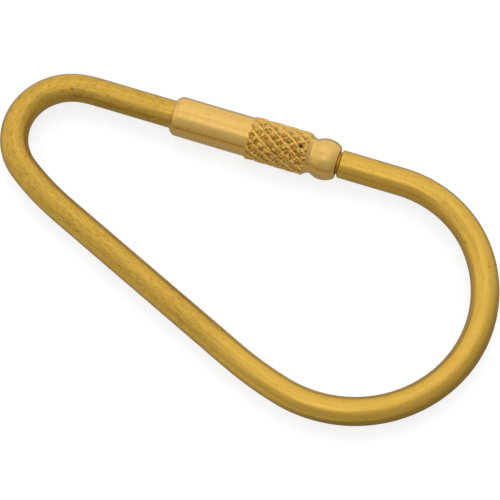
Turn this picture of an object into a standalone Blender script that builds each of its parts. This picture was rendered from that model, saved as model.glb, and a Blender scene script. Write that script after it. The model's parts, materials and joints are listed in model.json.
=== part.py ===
"""Pear-shaped key ring of bent brass rod, closed by a knurled screw barrel.

The ring lies flat. +X runs along the pear's long axis towards the big bow, the barrel is on the +Y arm and
+Z is up. The origin is below the middle of the ring, at the height of the knurl's lowest point.
Everything is first worked out in barrel space: x runs along the barrel from its rounded nose, y points out
of the ring and z is up. Each finished object is then turned and moved into the ring's own frame.
"""
import math

import bmesh
import bpy
import numpy as np

# Bent rod, bends measured on the rod's centre line
ROD_DIAMETER = 0.0040
BIG_BOW_RADIUS = 0.0183
BIG_LEAD_RADIUS = 0.0161
BIG_LEAD_SWEEP = 51.6
BIG_EXIT_RADIUS = 0.0520
BIG_EXIT_SWEEP = 9.3
SMALL_BOW_RADIUS = 0.0080
SMALL_LEAD_RADIUS = 0.0400
SMALL_LEAD_SWEEP = 12.0
SMALL_EXIT_RADIUS = 0.0157
SMALL_EXIT_SWEEP = 8.8
STUD_ARM_LENGTH = 0.00905
FREE_ARM_SPARE = 0.0044
ROD_CHAMFER = 0.00022

# Barrel sleeve, outside. The knurl's spacing and a ridge's foot are measured along the barrel.
BARREL_DIAMETER = 0.0057
PLAIN_LENGTH = 0.0112
NOSE_RADIUS = 0.0011
KNURL_DIAMETER = 0.0062
KNURL_DEPTH = 0.00034
KNURL_WEAK_RIDGE = 0.00021
KNURL_LENGTH = 0.0085
KNURL_SPACING = 0.00212
KNURL_RIDGE_FOOT = 0.0015
KNURL_RIDGES = 13
KNURL_RAMP = 0.00015
END_CHAMFER_LENGTH = 0.00067

# Bead nut, outside
COVE_DIAMETER = 0.0050
COVE_OFFSET = 0.00030
COVE_TO_BEAD = 0.00177
BEAD_DIAMETER = 0.00592
BEAD_TO_FACE = 0.00181

# Opening motion and the gap that lets a key in
TRAVEL = 0.0070
KEY_GAP = 0.0034
SHOULDER_GAP = 0.00035

# Thread, M4 with a pitch of 0.7 mm
THREAD_DIAMETER = 0.0039
THREAD_PITCH = 0.0007
THREAD_DEPTH = 0.00036
THREAD_FLANK_ANGLE = 30.0
NECK_DIAMETER = 0.0032
NECK_LENGTH = 0.0008

# Inside of the barrel
SLEEVE_WALL = 0.00045
PLUG_LENGTH = 0.0017
HEAD_LENGTH = 0.0016
WASHER_THICKNESS = 0.0004
TENON_DIAMETER = 0.0026
RIVET_DIAMETER = 0.0034
RIVET_HEIGHT = 0.0003

# Clearances
SLIDE_CLEARANCE = 0.00007
HEAD_CLEARANCE = 0.00005
WASHER_CLEARANCE = 0.00005
THREAD_CLEARANCE = 0.00007
PRESS_CLEARANCE = 0.00002
SEAT_GAP = 0.00003
END_CLEARANCE = 0.00020

# Mesh resolution
ROD_SIDES = 24
POINTS_PER_RIDGE = 4
BARREL_SIDES = POINTS_PER_RIDGE * KNURL_RIDGES
BEND_STEP = 6.0
PROFILE_STEPS = 5
EDGES_PER_PITCH = 4
SHARP_ANGLE = 30.0
MERGE_DISTANCE = 1e-7
AXIS_MARK_SIZE = 0.01

# Radii and places that follow from the sizes above
ROD_RADIUS = ROD_DIAMETER / 2
BORE_RADIUS = ROD_RADIUS + SLIDE_CLEARANCE
CHAMBER_RADIUS = BARREL_DIAMETER / 2 - SLEEVE_WALL
SLEEVE_LENGTH = PLAIN_LENGTH + KNURL_LENGTH + END_CHAMFER_LENGTH
PLUG_START = SLEEVE_LENGTH - PLUG_LENGTH
RIVET_END = PLUG_START - END_CLEARANCE - TRAVEL
RIVET_START = RIVET_END - RIVET_HEIGHT
HEAD_END = RIVET_START - SEAT_GAP
HEAD_START = HEAD_END - HEAD_LENGTH
ARM_END = HEAD_START - SEAT_GAP
WASHER_END = HEAD_START - SEAT_GAP
WASHER_START = WASHER_END - WASHER_THICKNESS
CHAMBER_START = WASHER_START - SEAT_GAP
COVE_PLACE = SLEEVE_LENGTH + COVE_OFFSET
BEAD_CENTRE = COVE_PLACE + COVE_TO_BEAD
BARREL_END = BEAD_CENTRE + BEAD_TO_FACE
STUD_SHOULDER = BARREL_END + SHOULDER_GAP
STUD_TIP = BARREL_END - TRAVEL + KEY_GAP
THREAD_END = STUD_SHOULDER - NECK_LENGTH
THREAD_ROOT_RADIUS = THREAD_DIAMETER / 2 - THREAD_DEPTH
THREAD_CREST_WIDTH = THREAD_PITCH / 8
THREAD_FLANK_LENGTH = THREAD_DEPTH * math.tan(math.radians(THREAD_FLANK_ANGLE))
TAPPED_RADIUS = THREAD_DIAMETER / 2 + THREAD_CLEARANCE
ARM_START = -(TRAVEL + FREE_ARM_SPARE)
UPPER_ARM_LENGTH = STUD_SHOULDER + STUD_ARM_LENGTH - ARM_START


def solve_outline():
    """Return the lower arm's length and the heading, in radians clockwise, along which it runs.

    The bends and the upper arm are given, and the rod has to come back to where it started. Written out
    along the path, that is two equations. Together they are a right triangle, as for a belt on two pulleys.
    """
    lead, turn_out = math.radians(BIG_LEAD_SWEEP), math.radians(BIG_EXIT_SWEEP)
    turn_in, exit_turn = math.radians(SMALL_LEAD_SWEEP), math.radians(SMALL_EXIT_SWEEP)
    across = UPPER_ARM_LENGTH + (BIG_LEAD_RADIUS - BIG_BOW_RADIUS) * math.sin(lead)
    across += (SMALL_EXIT_RADIUS - SMALL_BOW_RADIUS) * math.sin(exit_turn)
    down = BIG_LEAD_RADIUS + (BIG_BOW_RADIUS - BIG_LEAD_RADIUS) * math.cos(lead)
    down += (SMALL_EXIT_RADIUS - SMALL_BOW_RADIUS) * math.cos(exit_turn) - SMALL_EXIT_RADIUS
    before, after = BIG_BOW_RADIUS - BIG_EXIT_RADIUS, SMALL_LEAD_RADIUS - SMALL_BOW_RADIUS
    offset = before * math.cos(turn_out) + BIG_EXIT_RADIUS - SMALL_LEAD_RADIUS + after * math.cos(turn_in)
    run = math.sqrt(across ** 2 + down ** 2 - offset ** 2)
    heading = math.atan2(-offset * across - run * down, -run * across + offset * down)
    return run + before * math.sin(turn_out) - after * math.sin(turn_in), heading % (2 * math.pi)


LOWER_ARM_LENGTH, LOWER_ARM_HEADING = solve_outline()
PEAR_TILT = (LOWER_ARM_HEADING - math.pi) / 2


def bend_headings(heading, turn):
    """Return a bend's headings: even steps, and those at which the rod is furthest out in the frame."""
    steps = max(2, round(math.degrees(turn) / BEND_STEP))
    quarter = math.pi / 2
    first = math.ceil((heading - PEAR_TILT) / quarter)
    last = math.floor((heading + turn - PEAR_TILT) / quarter)
    even = [heading + turn * step / steps for step in range(1, steps + 1)]
    return sorted(even + [PEAR_TILT + quarter * side for side in range(first, last + 1)])


def rod_stations():
    """Return the rod's centre points and headings, from the stud's shoulder round to the plain arm's end."""
    lead, turn_out = math.radians(BIG_LEAD_SWEEP), math.radians(BIG_EXIT_SWEEP)
    turn_in, exit_turn = math.radians(SMALL_LEAD_SWEEP), math.radians(SMALL_EXIT_SWEEP)
    big_turn = LOWER_ARM_HEADING - lead - turn_out
    small_turn = 2 * math.pi - LOWER_ARM_HEADING - turn_in - exit_turn
    bends = [
        (STUD_ARM_LENGTH, BIG_LEAD_RADIUS, lead),
        (0.0, BIG_BOW_RADIUS, big_turn),
        (0.0, BIG_EXIT_RADIUS, turn_out),
        (LOWER_ARM_LENGTH, SMALL_LEAD_RADIUS, turn_in),
        (0.0, SMALL_BOW_RADIUS, small_turn),
        (0.0, SMALL_EXIT_RADIUS, exit_turn),
    ]
    point, heading = np.array([STUD_SHOULDER + ROD_CHAMFER, 0.0]), 0.0
    stations = [(point, heading)]
    for number, (straight, radius, turn) in enumerate(bends):
        length = straight - (ROD_CHAMFER if number == 0 else 0.0)
        point = point + length * np.array([math.cos(heading), -math.sin(heading)])
        if length > 0:
            stations.append((point, heading))
        centre = point - radius * np.array([math.sin(heading), math.cos(heading)])
        for now in bend_headings(heading, turn):
            place = centre + radius * np.array([math.sin(now), math.cos(now)])
            stations.append((place, now))
        point, heading = stations[-1]
    stations.append((np.array([ARM_END - ROD_CHAMFER, 0.0]), 2 * math.pi))
    return stations


def rod_ring(point, heading):
    """Return one ring of the bent rod, square to its heading; its first corner points out of the pear."""
    angles = np.arange(ROD_SIDES) * 2 * math.pi / ROD_SIDES
    sideways = ROD_RADIUS * np.cos(angles)
    x = point[0] + sideways * math.sin(heading)
    y = point[1] + sideways * math.cos(heading)
    return np.column_stack([x, y, ROD_RADIUS * np.sin(angles)])


def turned_ring(x, radius, sides):
    """Return one ring about the barrel's axis. x and radius may be single numbers or one for each side."""
    angles = np.arange(sides) * 2 * math.pi / sides
    return np.column_stack([x + 0 * angles, radius * np.cos(angles), radius * np.sin(angles)])


def arc_points(centre_x, centre_r, radius, start, end):
    """Return points (x, r) of an outward arc. Its angles are in radians from the +r direction towards +x."""
    return [
        (centre_x + radius * math.sin(angle), centre_r + radius * math.cos(angle))
        for angle in np.linspace(start, end, PROFILE_STEPS + 1)
    ]


def cove_arc():
    """Return the radius and the centre's distance from the axis of the cove, which touches the bead."""
    bead, waist = BEAD_DIAMETER / 2, COVE_DIAMETER / 2
    cove = (COVE_TO_BEAD ** 2 - bead ** 2 + waist ** 2) / (2 * (bead - waist))
    return cove, waist + cove


def cove_radius_at(x):
    """Return the barrel's radius on the cove at x."""
    cove, centre = cove_arc()
    return centre - math.sqrt(cove ** 2 - (x - COVE_PLACE) ** 2)


def thread_radius(x, angle, crest):
    """Return the radius of a right-hand thread at x and angle: flat crest, straight flanks and flat root."""
    phase = (x / THREAD_PITCH - angle / (2 * math.pi) + 0.5) % 1.0 - 0.5
    past_crest = np.abs(phase) * THREAD_PITCH - THREAD_CREST_WIDTH / 2
    return crest - THREAD_DEPTH * np.clip(past_crest / THREAD_FLANK_LENGTH, 0.0, 1.0)


def thread_rows(start, end, crest, limit):
    """Return the thread's own edges between two planes, four to a pitch. limit(x, radius) cuts the chamfers.

    An edge climbs one pitch in a turn. Beyond the planes it is held on them, and points that fall together
    there are merged later.
    """
    angles = np.arange(ROD_SIDES) * 2 * math.pi / ROD_SIDES
    half_crest = THREAD_CREST_WIDTH / 2
    half_root = half_crest + THREAD_FLANK_LENGTH
    first = math.floor(start / THREAD_PITCH) - 1
    last = math.ceil(end / THREAD_PITCH) + 1
    rows = []
    for turn in range(first, last + 1):
        for edge in (-half_root, -half_crest, half_crest, half_root):
            climb = angles * THREAD_PITCH / (2 * math.pi)
            x = np.clip(turn * THREAD_PITCH + edge + climb, start, end)
            rows.append(turned_ring(x, limit(x, thread_radius(x, angles, crest)), ROD_SIDES))
    return rows


def stud_limit(x, radius):
    """Cut the stud's thread down to its root by a 45 degree chamfer at both ends."""
    return np.minimum(radius, THREAD_ROOT_RADIUS + np.minimum(x - STUD_TIP, THREAD_END - x))


def nut_limit(x, radius):
    """Countersink the tapped hole at 45 degrees at both ends."""
    return np.maximum(radius, TAPPED_RADIUS - np.minimum(x - PLUG_START, BARREL_END - x))


def ridge_height(ridges, height):
    """Return the height over the groove, where ridges counts the ridges passed. A ridge has straight flanks."""
    away = np.abs(ridges - np.round(ridges)) * KNURL_SPACING
    return height * np.clip(1.0 - away / (KNURL_RIDGE_FOOT / 2), 0.0, 1.0)


def knurl_rings():
    """Return the rings of the knurl, where high right-hand ridges cross low left-hand ones over pits.

    The last ring lies on the end chamfer, so its pits sit further along than its ridges.
    """
    first, last = PLAIN_LENGTH + KNURL_RAMP, PLAIN_LENGTH + KNURL_LENGTH
    rows = max(2, round((last - first) * POINTS_PER_RIDGE / KNURL_SPACING))
    crest = KNURL_DIAMETER / 2
    slope = END_CHAMFER_LENGTH / (crest - cove_radius_at(SLEEVE_LENGTH))
    sides = np.arange(BARREL_SIDES)
    rings = []
    for row in range(rows + 1):
        high = ridge_height((sides - row) / POINTS_PER_RIDGE, KNURL_DEPTH)
        low = ridge_height((sides + row) / POINTS_PER_RIDGE, KNURL_WEAK_RIDGE)
        radius = crest - KNURL_DEPTH + np.maximum(high, low)
        x = first + (last - first) * row / rows + 0 * radius
        if row == rows:
            x += (crest - radius) * slope
        rings.append(turned_ring(x, radius, BARREL_SIDES))
    return rings


class Skin:
    """Points and faces of one closed body, joined ring by ring. A ring is a list of its points' numbers."""

    def __init__(self):
        self.points = []
        self.faces = []

    def ring(self, points):
        """Add a ring of points."""
        start = len(self.points)
        self.points += points.tolist()
        return list(range(start, len(self.points)))

    def join(self, first, second):
        """Join two rings. Unlike counts are gone round at the same rate."""
        if len(first) == len(second):
            for side in range(len(first)):
                after = (side + 1) % len(first)
                self.faces.append((first[side], first[after], second[after], second[side]))
            return
        a, b = 0, 0
        while a < len(first) or b < len(second):
            low, high = first[a % len(first)], second[b % len(second)]
            if (a + 1) * len(second) <= (b + 1) * len(first):
                a += 1
                self.faces.append((low, first[a % len(first)], high))
            else:
                b += 1
                self.faces.append((low, second[b % len(second)], high))

    def join_diamonds(self, first, second, row):
        """Join two knurl rings by triangles whose shared edge runs the way a ridge does."""
        for side in range(len(first)):
            after = (side + 1) % len(first)
            a, b, c, d = first[side], first[after], second[after], second[side]
            if (side + row) % 2 == 0:
                self.faces += [(a, b, c), (a, c, d)]
            else:
                self.faces += [(a, b, d), (b, c, d)]

    def join_thread(self, rows, climb):
        """Join a thread's edges. Past the last side each edge goes on as the one that is a pitch further."""
        for number in range(len(rows) - 1):
            low, high = rows[number], rows[number + 1]
            for side in range(len(low) - 1):
                self.faces.append((low[side], low[side + 1], high[side + 1], high[side]))
            onward = number + climb
            if 0 <= onward < len(rows) - 1:
                self.faces.append((low[-1], rows[onward][0], rows[onward + 1][0], high[-1]))

    def join_all(self, rings):
        """Join a run of rings, each to the next, and return them."""
        for first, second in zip(rings, rings[1:]):
            self.join(first, second)
        return rings

    def turned(self, corners, sides):
        """Add the turned surface through corners (x, r) and return its rings."""
        return self.join_all([self.ring(turned_ring(x, r, sides)) for x, r in corners])

    def to_object(self, name, material):
        """Make the object, with points that fall together merged."""
        mesh = bpy.data.meshes.new(name)
        mesh.from_pydata(self.points, [], self.faces)
        work = bmesh.new()
        work.from_mesh(mesh)
        bmesh.ops.remove_doubles(work, verts=work.verts, dist=MERGE_DISTANCE)
        work.to_mesh(mesh)
        work.free()
        mesh.shade_smooth()
        mesh.set_sharp_from_angle(angle=math.radians(SHARP_ANGLE))
        mesh.materials.append(material)
        thing = bpy.data.objects.new(name, mesh)
        bpy.context.scene.collection.objects.link(thing)
        return thing


def make_wire_ring():
    """Bent rod with its threaded stud at one end and its riveted tenon at the other."""
    skin = Skin()
    rows = thread_rows(STUD_TIP, THREAD_END, THREAD_DIAMETER / 2, stud_limit)
    thread = [skin.ring(row) for row in rows]
    skin.join_thread(thread, EDGES_PER_PITCH)
    neck = NECK_DIAMETER / 2
    end_radius = ROD_RADIUS - ROD_CHAMFER
    waist = [(THREAD_END, neck), (STUD_SHOULDER, neck), (STUD_SHOULDER, end_radius)]
    shoulder = skin.turned(waist, ROD_SIDES)
    rod = skin.join_all([skin.ring(rod_ring(point, heading)) for point, heading in rod_stations()])
    tenon, rivet = TENON_DIAMETER / 2, RIVET_DIAMETER / 2
    dome = RIVET_HEIGHT / 2
    tip = skin.turned(
        [
            (ARM_END, end_radius),
            (ARM_END, tenon),
            (RIVET_START, tenon),
            (RIVET_START, rivet),
            (RIVET_END - dome, rivet),
            (RIVET_END, rivet - dome),
        ],
        ROD_SIDES,
    )
    skin.join(thread[-1], shoulder[0])
    skin.join(shoulder[-1], rod[0])
    skin.join(rod[-1], tip[0])
    skin.faces += [thread[0][::-1], tip[-1]]
    return skin.to_object("wire_ring", brass("drawn_brass", (0.50, 0.32, 0.075), 0.38))


def make_washer(name, start, length, outer, inner, material):
    """Plain turned ring about the barrel's axis."""
    skin = Skin()
    corners = [(start, inner), (start, outer), (start + length, outer), (start + length, inner)]
    rings = skin.turned(corners, BARREL_SIDES)
    skin.join(rings[-1], rings[0])
    return skin.to_object(name, material)


def make_retaining_head():
    """Collar riveted on the rod's tenon."""
    rim, hole = CHAMBER_RADIUS - HEAD_CLEARANCE, TENON_DIAMETER / 2 + PRESS_CLEARANCE
    material = brass("head_brass", (0.62, 0.42, 0.14), 0.40)
    return make_washer("retaining_head", HEAD_START, HEAD_LENGTH, rim, hole, material)


def make_thrust_washer():
    """Washer on the rod between the head and the sleeve's inner shoulder."""
    rim, hole = CHAMBER_RADIUS - WASHER_CLEARANCE, ROD_RADIUS + WASHER_CLEARANCE
    material = brass("washer_brass", (0.66, 0.46, 0.16), 0.35)
    return make_washer("thrust_washer", WASHER_START, WASHER_THICKNESS, rim, hole, material)


def make_barrel_sleeve():
    """Turned and knurled sleeve: narrow mouth for the plain arm, wide chamber for the head."""
    skin = Skin()
    outer = BARREL_DIAMETER / 2
    nose_centre = outer - NOSE_RADIUS
    at_mouth = math.acos(max(0.0, BORE_RADIUS - nose_centre) / NOSE_RADIUS)
    nose = arc_points(NOSE_RADIUS * math.sin(at_mouth), nose_centre, NOSE_RADIUS, -at_mouth, 0)
    plain = skin.turned(nose + [(PLAIN_LENGTH, outer)], BARREL_SIDES)
    knurl = [skin.ring(ring) for ring in knurl_rings()]
    for row in range(len(knurl) - 1):
        skin.join_diamonds(knurl[row], knurl[row + 1], row)
    inside = [
        (SLEEVE_LENGTH, cove_radius_at(SLEEVE_LENGTH)),
        (SLEEVE_LENGTH, CHAMBER_RADIUS),
        (CHAMBER_START, CHAMBER_RADIUS),
        (CHAMBER_START, BORE_RADIUS),
        (0.0, BORE_RADIUS),
    ]
    bore = skin.turned(inside, BARREL_SIDES)
    skin.join(plain[-1], knurl[0])
    skin.join(knurl[-1], bore[0])
    skin.join(bore[-1], plain[0])
    return skin.to_object("barrel_sleeve", brass("turned_brass", (0.68, 0.45, 0.16), 0.42))


def make_bead_nut():
    """Turned end of the barrel: plug, cove, bead and tapped hole."""
    skin = Skin()
    cove, centre = cove_arc()
    bead, plug = BEAD_DIAMETER / 2, CHAMBER_RADIUS - PRESS_CLEARANCE
    lean = math.atan2(COVE_TO_BEAD, centre)
    start = SLEEVE_LENGTH + SEAT_GAP
    profile = [(PLUG_START, plug), (start, plug)]
    profile += arc_points(COVE_PLACE, centre, -cove, math.asin((COVE_PLACE - start) / cove), -lean)
    profile += arc_points(BEAD_CENTRE, 0.0, bead, -lean, 0)[1:]
    profile += arc_points(BEAD_CENTRE, 0.0, bead, 0, math.asin(BEAD_TO_FACE / bead))[1:]
    outside = skin.turned(profile, BARREL_SIDES)
    rows = thread_rows(PLUG_START, BARREL_END, TAPPED_RADIUS, nut_limit)
    thread = [skin.ring(row) for row in rows[::-1]]
    skin.join_thread(thread, -EDGES_PER_PITCH)
    skin.join(outside[-1], thread[0])
    skin.join(thread[-1], outside[0])
    return skin.to_object("bead_nut", brass("bead_brass", (0.70, 0.46, 0.16), 0.38))


def brass(name, color, roughness):
    """Return a brass material of the given colour and roughness."""
    material = bpy.data.materials.new(name)
    material.use_nodes = True
    shader = material.node_tree.nodes["Principled BSDF"]
    shader.inputs["Base Color"].default_value = (*color, 1.0)
    shader.inputs["Metallic"].default_value = 1.0
    shader.inputs["Roughness"].default_value = roughness
    material.diffuse_color = (*color, 1.0)
    return material


def placement(wire):
    """Return where barrel space starts in the ring's frame. The origin is below the ring's middle."""
    points = np.array([vertex.co for vertex in wire.data.vertices])
    c, s = math.cos(PEAR_TILT), math.sin(PEAR_TILT)
    x = points[:, 0] * c - points[:, 1] * s
    y = points[:, 0] * s + points[:, 1] * c
    return -(x.min() + x.max()) / 2, -(y.min() + y.max()) / 2, KNURL_DIAMETER / 2


def new_empty(name, location):
    """Return an empty whose x axis lies along the barrel."""
    empty = bpy.data.objects.new(name, None)
    empty.empty_display_size = AXIS_MARK_SIZE
    empty.location = location
    empty.rotation_euler = (0.0, 0.0, PEAR_TILT)
    bpy.context.scene.collection.objects.link(empty)
    return empty


def build():
    """Make the ring and its barrel."""
    for thing in list(bpy.data.objects):
        bpy.data.objects.remove(thing, do_unlink=True)
    wire = make_wire_ring()
    location = placement(wire)
    ring_axis = new_empty("ring_axis", location)
    barrel_axis = new_empty("barrel_axis", location)
    for thing in (wire, make_retaining_head()):
        thing.parent = ring_axis
    for thing in (make_thrust_washer(), make_barrel_sleeve(), make_bead_nut()):
        thing.parent = barrel_axis
    bpy.context.view_layer.update()


build()
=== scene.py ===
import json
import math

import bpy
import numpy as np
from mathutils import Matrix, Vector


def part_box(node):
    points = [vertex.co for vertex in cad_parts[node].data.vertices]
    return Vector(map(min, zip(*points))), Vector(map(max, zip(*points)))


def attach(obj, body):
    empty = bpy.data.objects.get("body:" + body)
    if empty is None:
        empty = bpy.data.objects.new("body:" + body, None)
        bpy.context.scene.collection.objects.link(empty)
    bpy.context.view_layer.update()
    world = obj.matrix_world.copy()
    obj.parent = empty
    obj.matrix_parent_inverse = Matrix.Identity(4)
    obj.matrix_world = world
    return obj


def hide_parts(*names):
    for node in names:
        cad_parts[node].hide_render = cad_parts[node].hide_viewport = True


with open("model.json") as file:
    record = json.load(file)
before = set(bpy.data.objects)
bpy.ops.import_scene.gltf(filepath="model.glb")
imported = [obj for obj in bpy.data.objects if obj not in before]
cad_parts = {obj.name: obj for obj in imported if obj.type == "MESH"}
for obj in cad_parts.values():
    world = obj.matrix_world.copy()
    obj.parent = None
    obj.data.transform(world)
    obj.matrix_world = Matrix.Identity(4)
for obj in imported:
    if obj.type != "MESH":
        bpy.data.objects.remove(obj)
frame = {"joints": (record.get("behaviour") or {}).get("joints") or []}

# %% [markdown]
# # A screw key ring in brass
#
# The real object is one length of drawn brass rod, bent to a pear, whose two ends meet inside a turned
# barrel. The barrel has a plain part, a band of diamond knurling for the fingers, and a bead at the end
# that screws onto the rod's threaded stud. Blender's own primitives and modifiers could make most of it.
# Here each piece is a surface worked out with numpy, so that a bend, a thread or a knurl is one formula.

MM = 0.001
TURN = 2 * math.pi
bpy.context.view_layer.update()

# %% [markdown]
# ## Barrel space
#
# The barrel lies askew in the ring's frame, so its pieces are worked out where x runs along the barrel
# from its nose, y points out of the ring and z is up. Parenting them to a turned empty would do that too,
# but a finished piece's place is to be in its mesh. The frame's hinge gives the axis, and a whole array of
# points is turned and moved at once.

# %% Barrel space
turn_joint = next(joint for joint in frame["joints"] if joint["name"] == "barrel_turn")
nose_place = np.array(turn_joint["pos_m"])
barrel_way = -np.array(turn_joint["axis"])
tilt = math.atan2(barrel_way[1], barrel_way[0])
turning = np.array([[math.cos(tilt), -math.sin(tilt), 0], [math.sin(tilt), math.cos(tilt), 0], [0, 0, 1]])


def to_ring(points):
    """Turn points from barrel space by the barrel's tilt, and move them to the nose's place in the ring."""
    return points @ turning.T + nose_place


print("barrel tilt in degrees:", round(math.degrees(tilt), 3))

# %% [markdown]
# ## The camera
#
# The photograph was taken from above with a long lens, so the ring hardly narrows with distance. A camera
# could be moved by hand until it looks right. This one looks at a point on the ring's plane from a stated
# azimuth, elevation and distance, and comes early because it says which sides are seen most.

# %% Camera
IMAGE_WIDTH = 500
FOCAL_PIXELS = 3450
SENSOR_WIDTH = 36.0
LOOK_AT = Vector((0.002436, -0.002074, 0.0031))
CAMERA_DISTANCE = 0.47993
CAMERA_AZIMUTH = math.radians(-28.677)
CAMERA_ELEVATION = math.radians(66.797)
CAMERA_ROLL = math.radians(1.569)
NEAREST_SEEN = CAMERA_DISTANCE / 50


def new_object(name, data):
    """An object that shows the data, put into the scene."""
    made = bpy.data.objects.new(name, data)
    bpy.context.scene.collection.objects.link(made)
    return made


def make_camera():
    """Place the camera: back along its own z axis from the point it looks at, then rolled about it."""
    camera = new_object("camera", bpy.data.cameras.new("camera"))
    camera.data.sensor_width = SENSOR_WIDTH
    camera.data.lens = FOCAL_PIXELS * SENSOR_WIDTH / IMAGE_WIDTH
    camera.data.clip_start = NEAREST_SEEN
    flat, rise = math.cos(CAMERA_ELEVATION), math.sin(CAMERA_ELEVATION)
    forward = Vector((math.sin(CAMERA_AZIMUTH) * flat, math.cos(CAMERA_AZIMUTH) * flat, -rise))
    turned = forward.to_track_quat("-Z", "Y").to_matrix() @ Matrix.Rotation(CAMERA_ROLL, 3, "Z")
    camera.matrix_world = Matrix.Translation(LOOK_AT - forward * CAMERA_DISTANCE) @ turned.to_4x4()
    bpy.context.scene.camera = camera
    return camera


camera = make_camera()
print("camera lens in mm:", round(camera.data.lens, 1))

# %% [markdown]
# ## A skin from a grid
#
# Every piece here is a tube: rows of points that go round, one after the next. A Screw modifier or a
# bevelled curve makes tubes too, but neither lets the surface change from point to point. One array of
# rows, sides and coordinates becomes a mesh without visiting any point by itself. If the last row meets
# the first it is a closed loop, like a sleeve with a bore. Otherwise each end closes on one point, its
# pole.

# %% Faces of a grid
def quads_between(count, sides, loop):
    """Corners of the faces between neighbouring rows, along the side and then to the next row."""
    row = np.arange(count if loop else count - 1)[:, None]
    side = np.arange(sides)[None, :]
    after, onward = (side + 1) % sides, (row + 1) % count
    corners = [row * sides + side, row * sides + after, onward * sides + after, onward * sides + side]
    return np.stack([c.ravel() for c in np.broadcast_arrays(*corners)], axis=1)


def fans(count, sides):
    """Triangles from the first row to a pole in front of it, and from the last row to a pole behind."""
    side = np.arange(sides)
    after, pole, last = (side + 1) % sides, count * sides, (count - 1) * sides
    front = np.stack([after, side, np.full(sides, pole)], axis=1)
    back = np.stack([last + side, last + after, np.full(sides, pole + 1)], axis=1)
    return np.concatenate([front, back])


def fill_mesh(mesh, points, quads, triangles):
    """Put points and faces into the mesh as whole arrays."""
    corners = np.concatenate([quads.ravel(), triangles.ravel()]).astype(np.int32)
    starts = np.concatenate([np.arange(len(quads)) * 4, len(quads) * 4 + np.arange(len(triangles)) * 3])
    mesh.vertices.add(len(points))
    mesh.vertices.foreach_set("co", points.astype(np.float32).ravel())
    mesh.loops.add(len(corners))
    mesh.loops.foreach_set("vertex_index", corners)
    mesh.polygons.add(len(starts))
    mesh.polygons.foreach_set("loop_start", starts.astype(np.int32))
    mesh.update(calc_edges=True)
    mesh.validate()


print("faces of a closed tube of 3 rows and 4 sides:", len(quads_between(3, 4, True)))

# %% [markdown]
# ## What each point remembers
#
# Each point keeps where it was on the straight bar, before the part was bent or placed. The finishes
# follow that attribute, `stock`, so drawn lines run along the rod round every bend, and turned lines round
# the barrel. Another, `along`, is the bar's way there, along which a brushed surface blurs what it
# mirrors. A UV map would have a seam and only two numbers.

# %% Skin helper
SHARP = math.radians(38)


def keep_values(mesh, name, values):
    """Store one number, or one vector, for each point."""
    kind, field = ("FLOAT_VECTOR", "vector") if values.ndim == 2 else ("FLOAT", "value")
    mesh.attributes.new(name, kind, "POINT").data.foreach_set(field, values.astype(np.float32).ravel())


def skin(name, grid, stock, along, loop=False, **marks):
    """
    Make a piece from a grid of points and the same grid on the straight stock.

    along is the bar's way at each row, and each mark is one more number for each point.
    """
    count, sides = grid.shape[:2]
    points, bar = grid.reshape(-1, 3), stock.reshape(-1, 3)
    way = np.broadcast_to(np.reshape(along, (-1, 1, 3)), grid.shape).reshape(-1, 3)
    triangles = np.zeros((0, 3), int)
    if not loop:
        points = np.concatenate([points, grid[[0, -1]].mean(axis=1)])
        bar = np.concatenate([bar, stock[[0, -1]].mean(axis=1)])
        way = np.concatenate([way, way[[0, -1]]])
        triangles = fans(count, sides)
    mesh = bpy.data.meshes.new(name)
    fill_mesh(mesh, points, quads_between(count, sides, loop), triangles)
    for mark, values in {"stock": bar, "along": way}.items():
        keep_values(mesh, mark, values)
    for mark, values in marks.items():
        keep_values(mesh, mark, values.reshape(-1))
    mesh.shade_smooth()
    mesh.set_sharp_from_angle(angle=SHARP)
    piece = new_object(name, mesh)
    faces = len(mesh.loops) - 2 * len(mesh.polygons)
    print(f"{name}: {len(mesh.vertices)} points, {faces} triangles")
    return piece


def angles(sides):
    """The angle of each side round the bar, as one row."""
    return np.linspace(0, TURN, sides, endpoint=False)[None, :]


print("edges are sharp above degrees:", round(math.degrees(SHARP)))

# %% [markdown]
# ## Profiles
#
# A lathe makes a profile of straight cuts and arcs. A list of points taken by hand would have to be made
# again for each changed size. Here each cut is an array of (x, radius) from its own sizes, and the profile
# is those arrays end to end. Long cuts are divided, so that light falls evenly on near square faces.

# %% Profile helpers
CUT_STEP = 0.4 * MM
ARC_STEP = math.radians(7)
SAME_POINT = 0.0005 * MM


def straight(*corners, step=CUT_STEP):
    """Straight cuts from corner to corner, each (x, radius), with points no further apart than step."""
    points = []
    corners = np.array(corners, float)
    for start, end in zip(corners[:-1], corners[1:]):
        count = max(1, math.ceil(np.linalg.norm(end - start) / step))
        points.append(start + (end - start) * np.linspace(0, 1, count + 1)[:, None])
    return np.concatenate(points)


def arc(centre, radius, first, last, step=ARC_STEP):
    """Points on an arc: centre + radius (sin a, cos a), a from first to last. Minus radius: hollow."""
    count = max(2, math.ceil(abs(last - first) / step))
    angle = np.linspace(first, last, count + 1)
    return np.array(centre) + radius * np.stack([np.sin(angle), np.cos(angle)], axis=1)


def profile(*cuts):
    """Cuts end to end, with a point that two cuts share kept once."""
    points = np.concatenate(cuts)
    apart = np.linalg.norm(np.diff(points, axis=0), axis=1) > SAME_POINT
    return points[np.concatenate([[True], apart])]


print("points on a quarter arc:", len(arc((0, 0), MM, 0, TURN / 4)))

# %% [markdown]
# ## The bent rod
#
# The rod is stock 4 mm brass, drawn through a die and bent cold round formers. A bevelled curve would bend
# as well, but it can't carry a thread. The centre line is a chain of straights and arcs, and its heading
# is the sum of the turns so far. Two values aren't free. The lower arm's heading follows from the barrel's
# tilt, because the pear lies evenly about its long axis, and the arm's length is what brings the path back
# to the barrel.

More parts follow.
